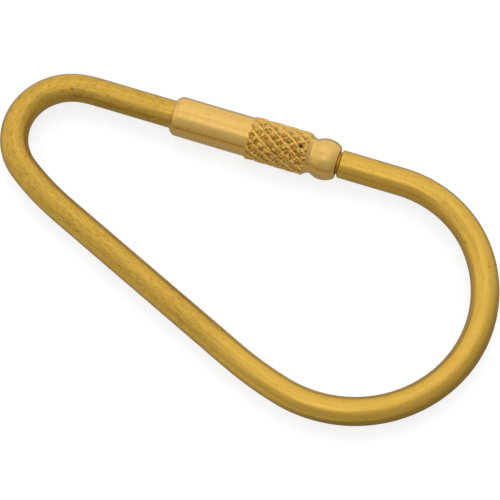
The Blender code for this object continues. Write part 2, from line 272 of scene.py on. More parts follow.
# %% Centre line: its straights and arcs
ROD_RADIUS = 2.0 * MM
STUD_TIP = 20.65 * MM
STUD_SHOULDER = 24.6 * MM
STUD_ARM = 9.05 * MM
FREE_ARM_START = -11.4 * MM
ARM_END = 9.51 * MM
RIVET_END = 11.47 * MM
BIG_LEAD, BIG_BOW, BIG_EXIT = 16.1 * MM, 18.3 * MM, 52.0 * MM
BIG_LEAD_TURN, BIG_EXIT_TURN = 51.6, 9.3
SMALL_LEAD, SMALL_BOW, SMALL_EXIT = 40.0 * MM, 8.0 * MM, 15.7 * MM
SMALL_LEAD_TURN, SMALL_EXIT_TURN = 12.0, 8.8
NO_BEND = 1
lower_heading = math.pi + 2 * tilt
turns = np.radians([0, BIG_LEAD_TURN, 0, BIG_EXIT_TURN, 0, SMALL_LEAD_TURN, 0, SMALL_EXIT_TURN, 0])
turns[2] = lower_heading - turns[1] - turns[3]
turns[6] = TURN - lower_heading - turns[5] - turns[7]
big_radii = [BIG_LEAD, BIG_BOW, BIG_EXIT]
small_radii = [SMALL_LEAD, SMALL_BOW, SMALL_EXIT]
bend_radii = np.array([NO_BEND, *big_radii, NO_BEND, *small_radii, NO_BEND])
headings = np.concatenate([[0], np.cumsum(turns)])


def side_steps():
    """How far each arc goes sideways: its radius times the change in the heading's cosine."""
    return bend_radii * np.where(turns > 0, np.cos(headings[1:]) - np.cos(headings[:-1]), 0)


lengths = bend_radii * turns
lengths[0] = STUD_SHOULDER - STUD_TIP + STUD_ARM
lengths[4] = side_steps().sum() / math.sin(lower_heading)
lengths[8] = RIVET_END - FREE_ARM_START
starts = np.concatenate([[0], np.cumsum(lengths)])
print("lower arm in mm:", round(lengths[4] / MM, 3), "rod in mm:", round(starts[-1] / MM, 1))

# %% [markdown]
# ## A place on the rod
#
# A bender measures along the rod, so every place is asked for by its distance from the stud's tip.
# Stepping along in small moves would add up errors. The way from an arc's start to any point on it is a
# chord, which leans half the turn made so far, and a straight is an arc with no turn.

# %% Centre line: any place on it
def advance(number, distance):
    """Offset after some distance along one part: a chord of its arc, or straight ahead."""
    heading, turn = headings[number], turns[number] * distance / lengths[number]
    half = turn / 2
    chord = distance * np.sinc(half / math.pi)
    return chord * np.cos(heading + half), -chord * np.sin(heading + half), heading + turn


def part_starts():
    """Where each part of the path starts in barrel space: the sum of the offsets before it."""
    x, y, _ = advance(np.arange(len(lengths)), lengths)
    return STUD_TIP + np.concatenate([[0], np.cumsum(x)]), np.concatenate([[0], np.cumsum(y)])


start_x, start_y = part_starts()
print("path closes within mm:", round(abs(start_x[-1] - RIVET_END) / MM, 6), round(abs(start_y[-1]) / MM, 6))


def centre_line(distance):
    """Place (x, y) and heading of the centre line at each distance from the stud's tip."""
    number = np.clip(np.searchsorted(starts, distance, side="right") - 1, 0, len(lengths) - 1)
    x, y, heading = advance(number, distance - starts[number])
    return start_x[number] + x, start_y[number] + y, heading


# %% [markdown]
# ## Thread, neck and tenon
#
# One end of the rod is turned down to a short neck and an M4 thread. A thread is often a helix joined to a
# shaft. Here it is a radius that depends on the distance and the angle, with a phase that climbs by one
# pitch in a turn, so nothing is joined. The other end carries a collar on a tenon, peened over like a
# rivet.

# %% Thread
THREAD_RADIUS = 1.95 * MM
THREAD_PITCH = 0.7 * MM
THREAD_DEPTH = 0.36 * MM
THREAD_FLANK = THREAD_DEPTH * math.tan(math.radians(30))
THREAD_CREST = THREAD_PITCH / 8
THREAD_END = 23.8 * MM


def thread_radius(x, angle, crest):
    """Crest minus depth, by how far the phase x / pitch - angle / turn is down the flank."""
    phase = (x / THREAD_PITCH - angle / TURN + 0.5) % 1.0 - 0.5
    past = np.abs(phase) * THREAD_PITCH - THREAD_CREST / 2
    return crest - THREAD_DEPTH * np.clip(past / THREAD_FLANK, 0, 1)


print("turns of thread on the stud:", round((THREAD_END - STUD_TIP) / THREAD_PITCH, 1))

# %% [markdown]
# ## The rod's profile
#
# Before it is bent the whole rod is one turned bar: stud, neck, shoulder, the long full part, shoulder,
# tenon and peened top. It could be several meshes, but one profile leaves no joints to hide. The rows lie
# closest on the thread, which needs about twenty to a pitch.

# %% Rod profile
NECK_RADIUS = 1.6 * MM
SHOULDER_ROUND = 0.28 * MM
TENON_RADIUS = 1.3 * MM
RIVET_RADIUS = 1.7 * MM
RIVET_START = 11.17 * MM
RIVET_DOME = 0.15 * MM
POLE_RING = 0.3 * MM
THREAD_STEP = 0.035 * MM
ROD_STEP = 0.3 * MM
SHOULDER_STEP = math.radians(15)
DOME_STEP = math.radians(20)


def rod_profile():
    """Distance from the stud's tip and radius, from the stud's end face round to the rivet's top."""
    shoulder = STUD_SHOULDER - STUD_TIP
    neck_start = THREAD_END - STUD_TIP
    root = THREAD_RADIUS - THREAD_DEPTH
    last = starts[-1] - (RIVET_END - ARM_END)
    rivet = starts[-1] - (RIVET_END - RIVET_START)
    top = starts[-1]
    inner, small = ROD_RADIUS - SHOULDER_ROUND, RIVET_RADIUS - RIVET_DOME
    full_start, full_end, dome = shoulder + SHOULDER_ROUND, last - SHOULDER_ROUND, top - RIVET_DOME
    tenon = [(last, TENON_RADIUS), (rivet, TENON_RADIUS)]
    return profile(
        straight((0, POLE_RING), (0, root)),
        straight((0, root), (neck_start, root), step=THREAD_STEP),
        straight((neck_start, NECK_RADIUS), (shoulder, NECK_RADIUS), (shoulder, inner)),
        arc((full_start, inner), SHOULDER_ROUND, -TURN / 4, 0, SHOULDER_STEP),
        straight((full_start, ROD_RADIUS), (full_end, ROD_RADIUS), step=ROD_STEP),
        arc((full_end, inner), SHOULDER_ROUND, 0, TURN / 4, SHOULDER_STEP),
        straight((last, inner), *tenon, (rivet, RIVET_RADIUS), (dome, RIVET_RADIUS)),
        arc((dome, small), RIVET_DOME, 0, TURN / 4, DOME_STEP),
        straight((top, small), (top, POLE_RING)),
    )


print("rows on the rod:", len(rod_profile()))

# %% [markdown]
# ## The rod's skin
#
# The profile is carried along the centre line, each row square to the heading there. Bending a straight
# mesh with a modifier would stretch it. The thread fades in at both ends, where a die starts and stops.

# %% The rod's skin
ROD_SIDES = 72


def make_rod():
    """Carry the profile along the centre line: centre + radius (cos a outwards + sin a up)."""
    distance, radius = rod_profile().T
    angle = angles(ROD_SIDES)
    from_end = np.minimum(distance, THREAD_END - STUD_TIP - distance)[:, None]
    root = THREAD_RADIUS - THREAD_DEPTH
    on_thread = (from_end >= 0) & (radius[:, None] > root - THREAD_DEPTH / 100)
    cut = np.minimum(thread_radius(STUD_TIP + distance[:, None], angle, THREAD_RADIUS), root + from_end)
    radius = np.where(on_thread, cut, radius[:, None])
    px, py, heading = (value[:, None] for value in centre_line(distance))
    out, up = radius * np.cos(angle), radius * np.sin(angle)
    grid = np.stack([px + out * np.sin(heading), py + out * np.cos(heading), up], axis=2)
    bar = np.stack(np.broadcast_arrays(distance[:, None], out, up), axis=2)
    along = np.stack([np.cos(heading), -np.sin(heading), 0 * heading], axis=2)[:, 0] @ turning.T
    return skin("bent_rod", to_ring(grid), bar, along)


bent_rod = make_rod()

# %% [markdown]
# ## Smooth noise
#
# Nothing that was rolled and handled is quite even. Smooth noise gives a shape that unevenness: random
# numbers on a coarse grid, blended between its points. Blender has noise of its own, but this one wraps
# round the barrel without a seam, and its seed makes it the same each time.

# %% Smooth noise
SEED = 7
rng = np.random.default_rng(SEED)


def smooth(value):
    """Ease from 0 to 1 with flat ends: 3 v^2 - 2 v^3."""
    value = np.clip(value, 0, 1)
    return value * value * (3 - 2 * value)


def value_noise(u, v, cells_u, cells_v):
    """Random values on a grid of cells, blended between them. u and v go from 0 to 1, and u wraps."""
    table = rng.random((cells_u, cells_v + 2))
    u, v = u % 1 * cells_u, np.clip(v, 0, 1) * cells_v
    iu, iv = np.floor(u).astype(int) % cells_u, np.floor(v).astype(int)
    fu, fv = smooth(u - np.floor(u)), smooth(v - iv)
    low = table[iu, iv] * (1 - fu) + table[(iu + 1) % cells_u, iv] * fu
    high = table[iu, iv + 1] * (1 - fu) + table[(iu + 1) % cells_u, iv + 1] * fu
    return low * (1 - fv) + high * fv


print("seed of the noise:", SEED)

# %% [markdown]
# ## The knurl
#
# Two hard wheels are pressed into the turning barrel, and each raises a set of slanting ridges, 13 round
# it. Crossed grooves cut with a Boolean give even, sharp diamonds, and these aren't even. One set of
# ridges is high and nearly unbroken. The other leaves only scales, each leaning on the ridge before it and
# running down into a torn pit, with a brown line at the next ridge's foot, partly grime and partly painted
# shade.
#
# So the knurl is a radius over distance and angle. Each wheel gives a wave that is 1 along its ridges and
# 0 in its grooves, and the surface follows whichever is higher. A random number for each scale makes them
# differ, and smooth noise tears them all.

# %% Knurl sizes
PLAIN_RADIUS = 2.85 * MM
PLAIN_LENGTH = 11.2 * MM
KNURL_RADIUS = 3.1 * MM
KNURL_DEPTH = 0.40 * MM
KNURL_END = 19.7 * MM
KNURL_RIDGES = 13
RIDGES_APART = 1.2 * MM
STRONG_SPACING, STRONG_START = 2.14 * MM, 0.06
WEAK_SPACING, WEAK_START = 2.08 * MM, -0.13
DRIFT, DRIFT_CELLS = 0.08, (26, 12)
# The next five are a wave's flat land, the flank before it and the flank after it.
STRONG_RIDGE = (0.18 * MM, 0.26 * MM, 0.38 * MM)
WEAK_RIDGE = (0.18 * MM, 0.48 * MM, 0.28 * MM)
CROSSING = (0.5 * MM, 0.3 * MM, 0.2 * MM)
FOOT_LINE = (0.1 * MM, 0.22 * MM, 0.22 * MM)
FOOT_GAP = (0.1 * MM, 0.4 * MM, 0.3 * MM)
CROSSING_DEPTH = 0.12
FOOT_PLACE, FOOT_LOST = 0.36, 0.6
SCALE_FLOOR, SCALE_RISE, SCALE_BITE = 0.36, 0.3, 0.4
SCALE_LOW, SCALE_FOOT = 0.45, 0.9
SCALE_CELLS = 64
ROUGH_TEAR, ROUGH_CELLS = 0.78, (66, 30)
FINE_TEAR, FINE_CELLS = 0.78, (114, 52)
TEAR_SPARED = 0.7
print("knurl is", round((KNURL_END - PLAIN_LENGTH) / MM, 2), "mm long and", KNURL_DEPTH / MM, "mm deep")


# %% Knurl height
def ridge(passed, land, rise, drop):
    """1 on a ridge's flat land and 0 in the groove. passed counts the ridges from side to side."""
    away = (passed - np.round(passed)) * RIDGES_APART
    before, after = (-land / 2 - away) / rise, (away - land / 2) / drop
    return smooth(1 - np.maximum(before, after))


def knurl_height(x, angle):
    """
    The height, from 0 in a pit to 1 on a fresh ridge, and how much the ridges' feet are browned, partly
    grime, partly painted shade.

    A wheel's phase is 13 turns of the angle plus or minus x over its spacing. The height is the higher of
    a strong ridge, a little lower where no weak one crosses it, and the scale that leans on it.
    """
    u, v = angle / TURN, (x - PLAIN_LENGTH) / (KNURL_END - PLAIN_LENGTH)
    drift = DRIFT * (value_noise(u, v, *DRIFT_CELLS) - 0.5)
    strong = KNURL_RIDGES * u - x / STRONG_SPACING + STRONG_START + drift
    weak = KNURL_RIDGES * u + x / WEAK_SPACING + WEAK_START - drift
    cell = rng.random((KNURL_RIDGES, SCALE_CELLS))
    bite = cell[np.floor(strong).astype(int) % KNURL_RIDGES, np.round(weak).astype(int) % SCALE_CELLS]
    crossed = 1 - CROSSING_DEPTH * (1 - ridge(weak, *CROSSING))
    lean = np.clip(1 - strong % 1 / SCALE_FOOT, 0, 1)
    scale = SCALE_FLOOR + (SCALE_RISE + SCALE_BITE * bite) * ridge(weak, *WEAK_RIDGE)
    scale = (SCALE_LOW + (1 - SCALE_LOW) * lean) * scale
    height = np.maximum(ridge(strong, *STRONG_RIDGE) * crossed, scale)
    # The ridges' feet: this line is browned later, partly grime and partly painted shade.
    foot = ridge(strong + FOOT_PLACE, *FOOT_LINE) * (1 - FOOT_LOST * ridge(weak, *FOOT_GAP))
    rough = value_noise(u, v, *ROUGH_CELLS) - 0.5
    fine = value_noise(u, v, *FINE_CELLS) - 0.5
    tear = (ROUGH_TEAR * rough + FINE_TEAR * fine) * (1 - TEAR_SPARED * height)
    return np.clip(height + tear, 0, 1), foot


# %% [markdown]
# ## Cove and bead
#
# Past the knurl the barrel narrows through a cove, a hollow arc, and swells to a bead, part of a ball. The
# cove touches the bead without a corner. Its radius could be tried until the two meet, but it follows from
# the two diameters and the distance between them. The joint between sleeve and bead piece lies where the
# chamfer meets the cove, as a line finer than a hair.

# %% Cove and bead sizes
SLEEVE_END = 20.37 * MM
COVE_PLACE = 20.67 * MM
COVE_WAIST = 2.5 * MM
BEAD_PLACE = 22.44 * MM
BEAD_RADIUS = 2.96 * MM
BARREL_END = 24.25 * MM
SEAM = 0.008 * MM
reach = BEAD_PLACE - COVE_PLACE
cove = (reach ** 2 - BEAD_RADIUS ** 2 + COVE_WAIST ** 2) / (2 * (BEAD_RADIUS - COVE_WAIST))
cove_centre = COVE_WAIST + cove
chamfer_foot = cove_centre - math.sqrt(cove ** 2 - (SLEEVE_END - COVE_PLACE) ** 2)
print("cove radius in mm:", round(cove / MM, 3), "chamfer foot in mm:", round(chamfer_foot / MM, 3))

# %% [markdown]
# ## The sleeve's profile
#
# The sleeve has a rounded nose, a plain part, the knurled part, a mouth that the rod runs through and a
# wider chamber for the collar. A bored cylinder would need Booleans. Here the rows go round the wall's
# whole section and meet again, so it is a closed loop with a real bore.

# %% Sleeve profile
BORE_RADIUS = 2.07 * MM
CHAMBER_RADIUS = 2.4 * MM
CHAMBER_START = 9.08 * MM
NOSE_ROUND = 1.1 * MM
EDGE_BREAK = 0.06 * MM
BEFORE_KNURL = 0.1 * MM
SLEEVE_STEP = 0.05 * MM
BORE_STEP = 2.5 * MM
NOSE_STEP = math.radians(4)


def sleeve_profile():
    """From the nose's inner edge, over the outside and back through the chamber and the mouth."""
    outside_start = BORE_RADIUS + EDGE_BREAK
    centre = PLAIN_RADIUS - NOSE_ROUND
    lean = math.acos((outside_start - centre) / NOSE_ROUND)
    tip = NOSE_ROUND * math.sin(lean)
    chamber = [(SLEEVE_END, CHAMBER_RADIUS), (CHAMBER_START, CHAMBER_RADIUS), (CHAMBER_START, BORE_RADIUS)]
    return profile(
        straight((EDGE_BREAK, BORE_RADIUS), (0, outside_start)),
        arc((tip, centre), NOSE_ROUND, -lean, 0, NOSE_STEP),
        straight((tip, PLAIN_RADIUS), (PLAIN_LENGTH - BEFORE_KNURL, PLAIN_RADIUS)),
        straight((PLAIN_LENGTH, PLAIN_RADIUS), (KNURL_END, PLAIN_RADIUS), step=SLEEVE_STEP),
        straight((KNURL_END + SLEEVE_STEP, PLAIN_RADIUS), (SLEEVE_END, chamfer_foot), step=SLEEVE_STEP),
        straight((SLEEVE_END, chamfer_foot), *chamber, (EDGE_BREAK, BORE_RADIUS), step=BORE_STEP),
    )


print("rows on the sleeve:", len(sleeve_profile()))

# %% [markdown]
# ## The knurl's ends and its clots
#
# A knurl starts raggedly, because the wheels walk a little before they bite, and it ends in a chamfer that
# was turned afterwards. A few of its pits are packed with old polish, nearly black, and each such clot is
# listed. All three could be sculpted, but as functions over distance and angle they follow the
# knurl.

# %% Knurl ends and clots
KNURL_RAMP, RAMP_LEAST, RAMP_SPREAD, RAMP_CELLS = 0.2 * MM, 0.4, 1.2, 60
KNURL_LATE, LATE_CELLS = 0.3 * MM, 48
CHAMFER_SAG = 0.45
CLOT_REACH, CLOT_NARROW = 1.6, 1.6
# Each clot is its place along the barrel in mm, its angle in degrees and its size in mm.
CLOTS = [(18.86, 97.4, 0.42), (16.94, 96.4, 0.26), (19.1, 69.9, 0.24), (14.9, 97.4, 0.17), (13.2, 60.0, 0.2)]


def clot_share(x, angle):
    """1 in the middle of a clot, falling to 0 at its edge, by the distance from it over its size."""
    share = 0 * x
    for place, degrees, size in CLOTS:
        around = np.angle(np.exp(1j * (angle - math.radians(degrees)))) * KNURL_RADIUS
        away = np.hypot(x - place * MM, CLOT_NARROW * around) / (size * MM)
        share = np.maximum(share, smooth(CLOT_REACH - away))
    return share


def knurl_start(x, angle):
    """How far the knurl has risen, from 0 to 1, over a ramp whose start and length differ all round."""
    ramp = KNURL_RAMP * (RAMP_LEAST + RAMP_SPREAD * value_noise(angle / TURN, 0 * x, RAMP_CELLS, 1))
    late = KNURL_LATE * value_noise(angle / TURN, 0 * x, LATE_CELLS, 1)
    return smooth((x - PLAIN_LENGTH - late) / ramp)


def chamfer_radius(x):
    """The chamfer, part straight and part parabola, over the share of it that is left."""
    left = (SLEEVE_END - x) / (SLEEVE_END - KNURL_END)
    sagged = CHAMFER_SAG * left ** 2 + (1 - CHAMFER_SAG) * left
    return chamfer_foot + (KNURL_RADIUS - chamfer_foot) * sagged


print("clots:", len(CLOTS))

# %% [markdown]
# ## The sleeve's skin
#
# Now the profile is turned, and on the knurl's rows the height takes over from the plain radius. A bump
# texture could fake the ridges, but they show against the background, so they are real. Each point keeps
# how deep it lies, and the finish browns it by that depth, partly as grime and partly as painted shade.

# %% The sleeve's skin
SLEEVE_SIDES = 390
CLOT_FILLED = 0.5
FOOT_GRIME_AND_SHADE = 0.6
BAND_START = 0.3
CHAMFER_CLEAR = 0.005 * MM


def turned(x, radius, angle):
    """Points about the barrel's axis: (x, radius cos a, radius sin a)."""
    return np.stack([x, radius * np.cos(angle), radius * np.sin(angle)], axis=2)


def make_sleeve():
    """Turn the profile, and between the knurl's ends let the knurl's height set the radius."""
    x, radius = sleeve_profile().T
    angle = angles(SLEEVE_SIDES)
    across, plain = x[:, None] + 0 * angle, radius[:, None] + 0 * angle
    height, foot = knurl_height(across, angle)
    clot = clot_share(across, angle)
    height = height - CLOT_FILLED * clot * height
    start = knurl_start(across, angle)
    raised = KNURL_RADIUS - KNURL_DEPTH * (1 - height)
    chamfer = chamfer_radius(across)
    outside = (np.arange(len(x)) < np.argmax(x))[:, None] & (across >= PLAIN_LENGTH)
    shape = np.minimum(plain + (raised - plain) * start, chamfer)
    shape = np.where(across > KNURL_END, np.minimum(raised, chamfer), shape)
    radius = np.where(outside, shape, plain)
    band = outside & (start > BAND_START) & (radius < chamfer - CHAMFER_CLEAR)
    # Painted shade with grime: groove is how deep a point lies plus the ridges' feet, and the finish browns
    # by it.
    groove = np.where(band, 1 - height + FOOT_GRIME_AND_SHADE * foot, 0)
    marks = {"groove": groove, "band": 1.0 * band, "clot": np.where(outside, clot, 0)}
    bar = turned(across, radius, angle)
    return skin("knurled_sleeve", to_ring(bar), bar, barrel_way, loop=True, **marks)


knurled_sleeve = make_sleeve()

# %% [markdown]
# ## The bead piece
#
# The bead is turned with its own plug, tapped M4 and pressed into the sleeve. A plain ball would do while
# the barrel is shut, but open, its hole can be looked into. So the thread is cut there as well, by the
# same formula as on the stud.

# %% Bead piece
PLUG_START = 18.67 * MM
PLUG_RADIUS = 2.38 * MM
TAPPED_RADIUS = 2.02 * MM
RIM_BREAK = 0.08 * MM
BEAD_SIDES = 144
TAP_STEP = 0.045 * MM
COVE_STEP = math.radians(4)
BEAD_STEP = math.radians(3)


def bead_profile():
    """From the plug's inner edge over the cove and the bead to the face, and back through the hole."""
    lean = math.atan2(reach, cove_centre)
    start = SLEEVE_END + SEAM
    cove_lean = math.asin((COVE_PLACE - start) / cove)
    face = math.asin((BARREL_END - RIM_BREAK - BEAD_PLACE) / BEAD_RADIUS)
    rim = BEAD_RADIUS * math.cos(face)
    return profile(
        straight((PLUG_START, TAPPED_RADIUS), (PLUG_START, PLUG_RADIUS), (start, PLUG_RADIUS)),
        arc((COVE_PLACE, cove_centre), -cove, cove_lean, -lean, COVE_STEP),
        arc((BEAD_PLACE, 0), BEAD_RADIUS, -lean, face, BEAD_STEP),
        straight((BARREL_END - RIM_BREAK, rim), (BARREL_END, rim - RIM_BREAK), (BARREL_END, TAPPED_RADIUS)),
        straight((BARREL_END, TAPPED_RADIUS), (PLUG_START, TAPPED_RADIUS), step=TAP_STEP),
    )


def make_bead():
    """Turn the profile. On the hole's rows the thread sets the radius, countersunk at both ends."""
    x, radius = bead_profile().T
    angle = angles(BEAD_SIDES)
    across, plain = x[:, None] + 0 * angle, radius[:, None] + 0 * angle
    sink = TAPPED_RADIUS - np.minimum(across - PLUG_START, BARREL_END - across)
    hole = np.maximum(thread_radius(across, angle, TAPPED_RADIUS), sink)
    past_face = (np.arange(len(x)) > np.argmax(x))[:, None]
    on_hole = past_face & (np.abs(plain - TAPPED_RADIUS) < SAME_POINT)
    bar = turned(across, np.where(on_hole, hole, plain), angle)
    return skin("bead_end", to_ring(bar), bar, barrel_way, loop=True)


bead_end = make_bead()

# %% [markdown]
# ## Collar and washer
#
# Inside the sleeve a collar is riveted on the rod's tenon, and a thin washer lies between it and the
# sleeve's shoulder. Cylinders with a Bevel modifier would do. They are turned rings like the rest, with
# their edges broken, as a lathe hand leaves them.

# %% Collar and washer
COLLAR = dict(start=9.54 * MM, end=11.14 * MM, inner=1.32 * MM, outer=2.35 * MM, edge=0.12 * MM)
WASHER = dict(start=9.11 * MM, end=9.51 * MM, inner=2.05 * MM, outer=2.35 * MM, edge=0.05 * MM)
RING_SIDES = 96
RING_STEP = 0.5 * MM


def make_collar(name, start, end, inner, outer, edge):
    """A turned ring from start to end along the barrel, with 45 degree edges of the given size."""
    front = [(start, inner), (start, outer - edge), (start + edge, outer)]
    back = [(end - edge, outer), (end, outer - edge), (end, inner)]
    rows = profile(straight(*front, *back, front[0], step=RING_STEP))[:-1]
    angle = angles(RING_SIDES)
    bar = turned(rows[:, :1] + 0 * angle, rows[:, 1:] + 0 * angle, angle)
    return skin(name, to_ring(bar), bar, barrel_way, loop=True)


riveted_collar = make_collar("riveted_collar", **COLLAR)
thin_washer = make_collar("thin_washer", **WASHER)

# %% [markdown]
# ## Building finishes
#
# A finish is a small network of nodes, which most people lay out by hand. Written down, it needs a helper
# that adds a node and fills its inputs, each with a number or with what another node gives. A few more for
# sums and steps let a finish read like a recipe.

# %% Node helpers
def add(tree, kind, inputs=None, **settings):
    """Add a node, set its options, and fill its inputs with numbers or with other nodes' outputs."""
    made = tree.nodes.new(kind)
    for name, value in settings.items():
        setattr(made, name, value)
    for name, value in (inputs or {}).items():
        if isinstance(value, bpy.types.NodeSocket):
            tree.links.new(value, made.inputs[name])
        else:
            made.inputs[name].default_value = value
    return made


def combine(tree, operation, first, second):
    """One sum on two numbers."""
    return add(tree, "ShaderNodeMath", {0: first, 1: second}, operation=operation).outputs[0]


def plus(tree, first, second):
    """First plus second."""
    return combine(tree, "ADD", first, second)


def less(tree, first, second):
    """First minus second."""
    return combine(tree, "SUBTRACT", first, second)


def times(tree, first, second):
    """First times second."""
    return combine(tree, "MULTIPLY", first, second)


def vector_sum(tree, operation, *vectors):
    """A number from one or two vectors, such as a length or how far one goes along the other."""
    made = add(tree, "ShaderNodeVectorMath", dict(enumerate(vectors)), operation=operation)
    return made.outputs["Value"]


def between(tree, value, low, high, to_low=0.0, to_high=1.0):
    """Where value lies between low and high, as a smooth step from to_low to to_high."""
    step = add(tree, "ShaderNodeMapRange", {
        0: value, "From Min": low, "From Max": high, "To Min": to_low, "To Max": to_high},
        interpolation_type="SMOOTHSTEP")
    return step.outputs[0]


def blend(tree, factor, first, second):
    """Mix two colours, each a triple or a node's output, by the factor."""
    mix = add(tree, "ShaderNodeMix", data_type="RGBA")
    for socket, value in ((mix.inputs[0], factor), (mix.inputs[6], first), (mix.inputs[7], second)):
        if isinstance(value, bpy.types.NodeSocket):
            tree.links.new(value, socket)
        else:
            socket.default_value = (*value, 1.0)
    return mix.outputs[2]


# %% [markdown]
# ## Patterns on the stock
#
# Every mark on this brass runs along the bar or round it, because the bar was drawn and turned. A texture
# in plain space would cut across the bends. So each pattern is noise on the straight stock, squeezed along
# or around: 0.05 along the bar makes a speck twenty times longer. A smooth step then picks out its peaks.

# %% Pattern helpers
def stock_place(tree):
    """Where a point was on the straight stock."""
    return add(tree, "ShaderNodeAttribute", attribute_name="stock").outputs["Vector"]


def stock_distance(tree):
    """How far along the straight stock a point was."""
    return add(tree, "ShaderNodeSeparateXYZ", {0: stock_place(tree)}).outputs[0]


def noise(tree, scale, along=1.0, around=1.0, detail=2.0, roughness=0.5):
    """Noise on the straight stock, with its own directions squeezed by the factors along and around."""
    squeeze = (along, around, around)
    mapping = add(tree, "ShaderNodeMapping", {"Vector": stock_place(tree), "Scale": squeeze})
    made = add(tree, "ShaderNodeTexNoise", {
        "Vector": mapping.outputs[0], "Scale": scale, "Detail": detail, "Roughness": roughness})
    return made.outputs[0]


def pattern(tree, low, high, to_low=0.0, to_high=1.0, **noise_values):
    """A smooth step over noise on the stock, from to_low below low to to_high above high."""
    return between(tree, noise(tree, **noise_values), low, high, to_low, to_high)


def mark(tree, name):
    """A number that the piece's points keep."""
    return add(tree, "ShaderNodeAttribute", attribute_name=name).outputs["Fac"]


def metal(name, colour, roughness, height, depth, **constants):
    """A metal whose colour, roughness and relief come from functions. Relief is depth metres high."""
    material = bpy.data.materials.new(name)
    material.use_nodes = True
    tree = material.node_tree
    shader = tree.nodes["Principled BSDF"]
    shader.inputs["Metallic"].default_value = 1.0
    for socket, value in constants.items():
        shader.inputs[socket].default_value = value
    tree.links.new(colour(tree), shader.inputs["Base Color"])
    tree.links.new(roughness(tree), shader.inputs["Roughness"])
    bump = add(tree, "ShaderNodeBump", {"Height": height(tree), "Distance": depth, "Strength": 1.0})
    tree.links.new(bump.outputs[0], shader.inputs["Normal"])
    way = add(tree, "ShaderNodeAttribute", attribute_name="along")
    tree.links.new(way.outputs["Vector"], shader.inputs["Tangent"])
    print(f"{name}: {len(tree.nodes)} nodes")
    return material


# %% [markdown]
# ## Where the rod is worn, and the painted shade at its neck
#
# The ring hung by its small bow and rubbed along the lower arm, so those are dull and full of fine dark
# lines. Keys rubbed the big bow's outer sweep clean. The neck beside the bead lies in a narrow gap, and its
# brown is painted shade. Painted by hand, these places would be lost with the next change of size. They are
# steps over the distance along the stock instead.

# %% Worn and clean places, and the painted shade at the neck
WORN_FROM = (80 * MM, 88 * MM)
WORN_TO = (148 * MM, 170 * MM)
CLEAN_FROM = (30 * MM, 42 * MM)
CLEAN_TO = (76 * MM, 88 * MM)
CLEAN_LEFT = 0.35
# The neck's tone and edge below set a painted shade for the narrow gap between the bead and the shoulder.
NECK_SHADE_TONE = (0.3, 1.0)
NECK_SHADE_EDGE = 0.3 * MM
TURNED_DOWN = (1.8 * MM, 1.97 * MM)


def worn_share(tree):
    """1 on the lower arm and the small bow, where the ring has hung and rubbed, and 0 on the big bow."""
    distance = stock_distance(tree)
    return less(tree, between(tree, distance, *WORN_FROM), between(tree, distance, *WORN_TO))


def marked_share(tree):
    """1 where pits and scratches are strongest, and a third on the outer sweep of the big bow."""
    distance = stock_distance(tree)
    falling = between(tree, distance, *CLEAN_FROM, 1.0, CLEAN_LEFT)
    return plus(tree, falling, between(tree, distance, *CLEAN_TO, 0.0, 1 - CLEAN_LEFT))


def neck_shade_share(tree):
    """Painted shade by the bead: 1 on the neck, a third on the thread before it, and 0 on the full rod, by
    its radius on the stock.
    """
    across = add(tree, "ShaderNodeVectorMath", {0: stock_place(tree), 1: (0, 1, 1)}, operation="MULTIPLY")
    radius = vector_sum(tree, "LENGTH", across.outputs[0])
    neck_start = THREAD_END - STUD_TIP
    tone = between(tree, stock_distance(tree), neck_start - NECK_SHADE_EDGE, neck_start, *NECK_SHADE_TONE)
    return times(tree, between(tree, radius, *TURNED_DOWN, 1.0, 0.0), tone)


print("the rod is worn between", WORN_FROM[0] / MM, "and", WORN_TO[1] / MM, "mm from the stud's tip")

# %% [markdown]
# ## Marks on drawn brass
#
# Drawn rod has fine lines along it, because the die drags every speck of dirt down the bar, and a life
# among keys adds pits, scratches and dark hairs. A photograph of metal would repeat, and smear round the
# bends. Each kind of mark is the peaks of one noise instead, long and thin or nearly round.

# %% Marks on drawn brass
PITS = dict(along=0.5, scale=3300, detail=1.0, low=0.69, high=0.77)
SHORT_MARKS = dict(along=0.22, scale=3000, roughness=0.6, low=0.64, high=0.71)
LONG_MARKS = dict(along=0.025, scale=5600, detail=1.0, low=0.68, high=0.76)
LONG_STRENGTH = 0.7
HAIRS = dict(along=0.2, scale=7200, roughness=0.6, low=0.53, high=0.66)
HAIRS_ALL, HAIRS_WORN = 0.12, 0.38


def scratches(tree):
    """Brown marks along the bar, some short and broad and some long and fine."""
    long = times(tree, pattern(tree, **LONG_MARKS), LONG_STRENGTH)
    return combine(tree, "MAXIMUM", pattern(tree, **SHORT_MARKS), long)


def hairs(tree):
    """Short dark hairs along the bar, a seventh of a millimetre wide, thickest where the ring is worn."""
    share = plus(tree, times(tree, worn_share(tree), HAIRS_WORN), HAIRS_ALL)
    return times(tree, pattern(tree, **HAIRS), share)


print("finest marks repeat about every", round(1000 / HAIRS["scale"], 2), "mm across the rod")

# %% [markdown]
# ## Drawn brass
#
# Years in a pocket leave drawn brass satin and a little olive. One flat gold would look like plastic, so
# the colour is built in layers: bright and dull streaks, warm patches, wear, hairs, painted shade on the
# neck, and then scratches and pits. The relief is so fine that only the edge of a highlight shows it.

# %% Drawn brass
DRAWN_BRIGHT = (0.74, 0.46, 0.080)
DRAWN_DULL = (0.65, 0.405, 0.066)
DRAWN_WARM = (0.74, 0.43, 0.080)
WORN_OLIVE = (0.52, 0.315, 0.050)
PIT_BROWN = (0.16, 0.075, 0.015)
SCRATCH_BROWN = (0.34, 0.17, 0.025)
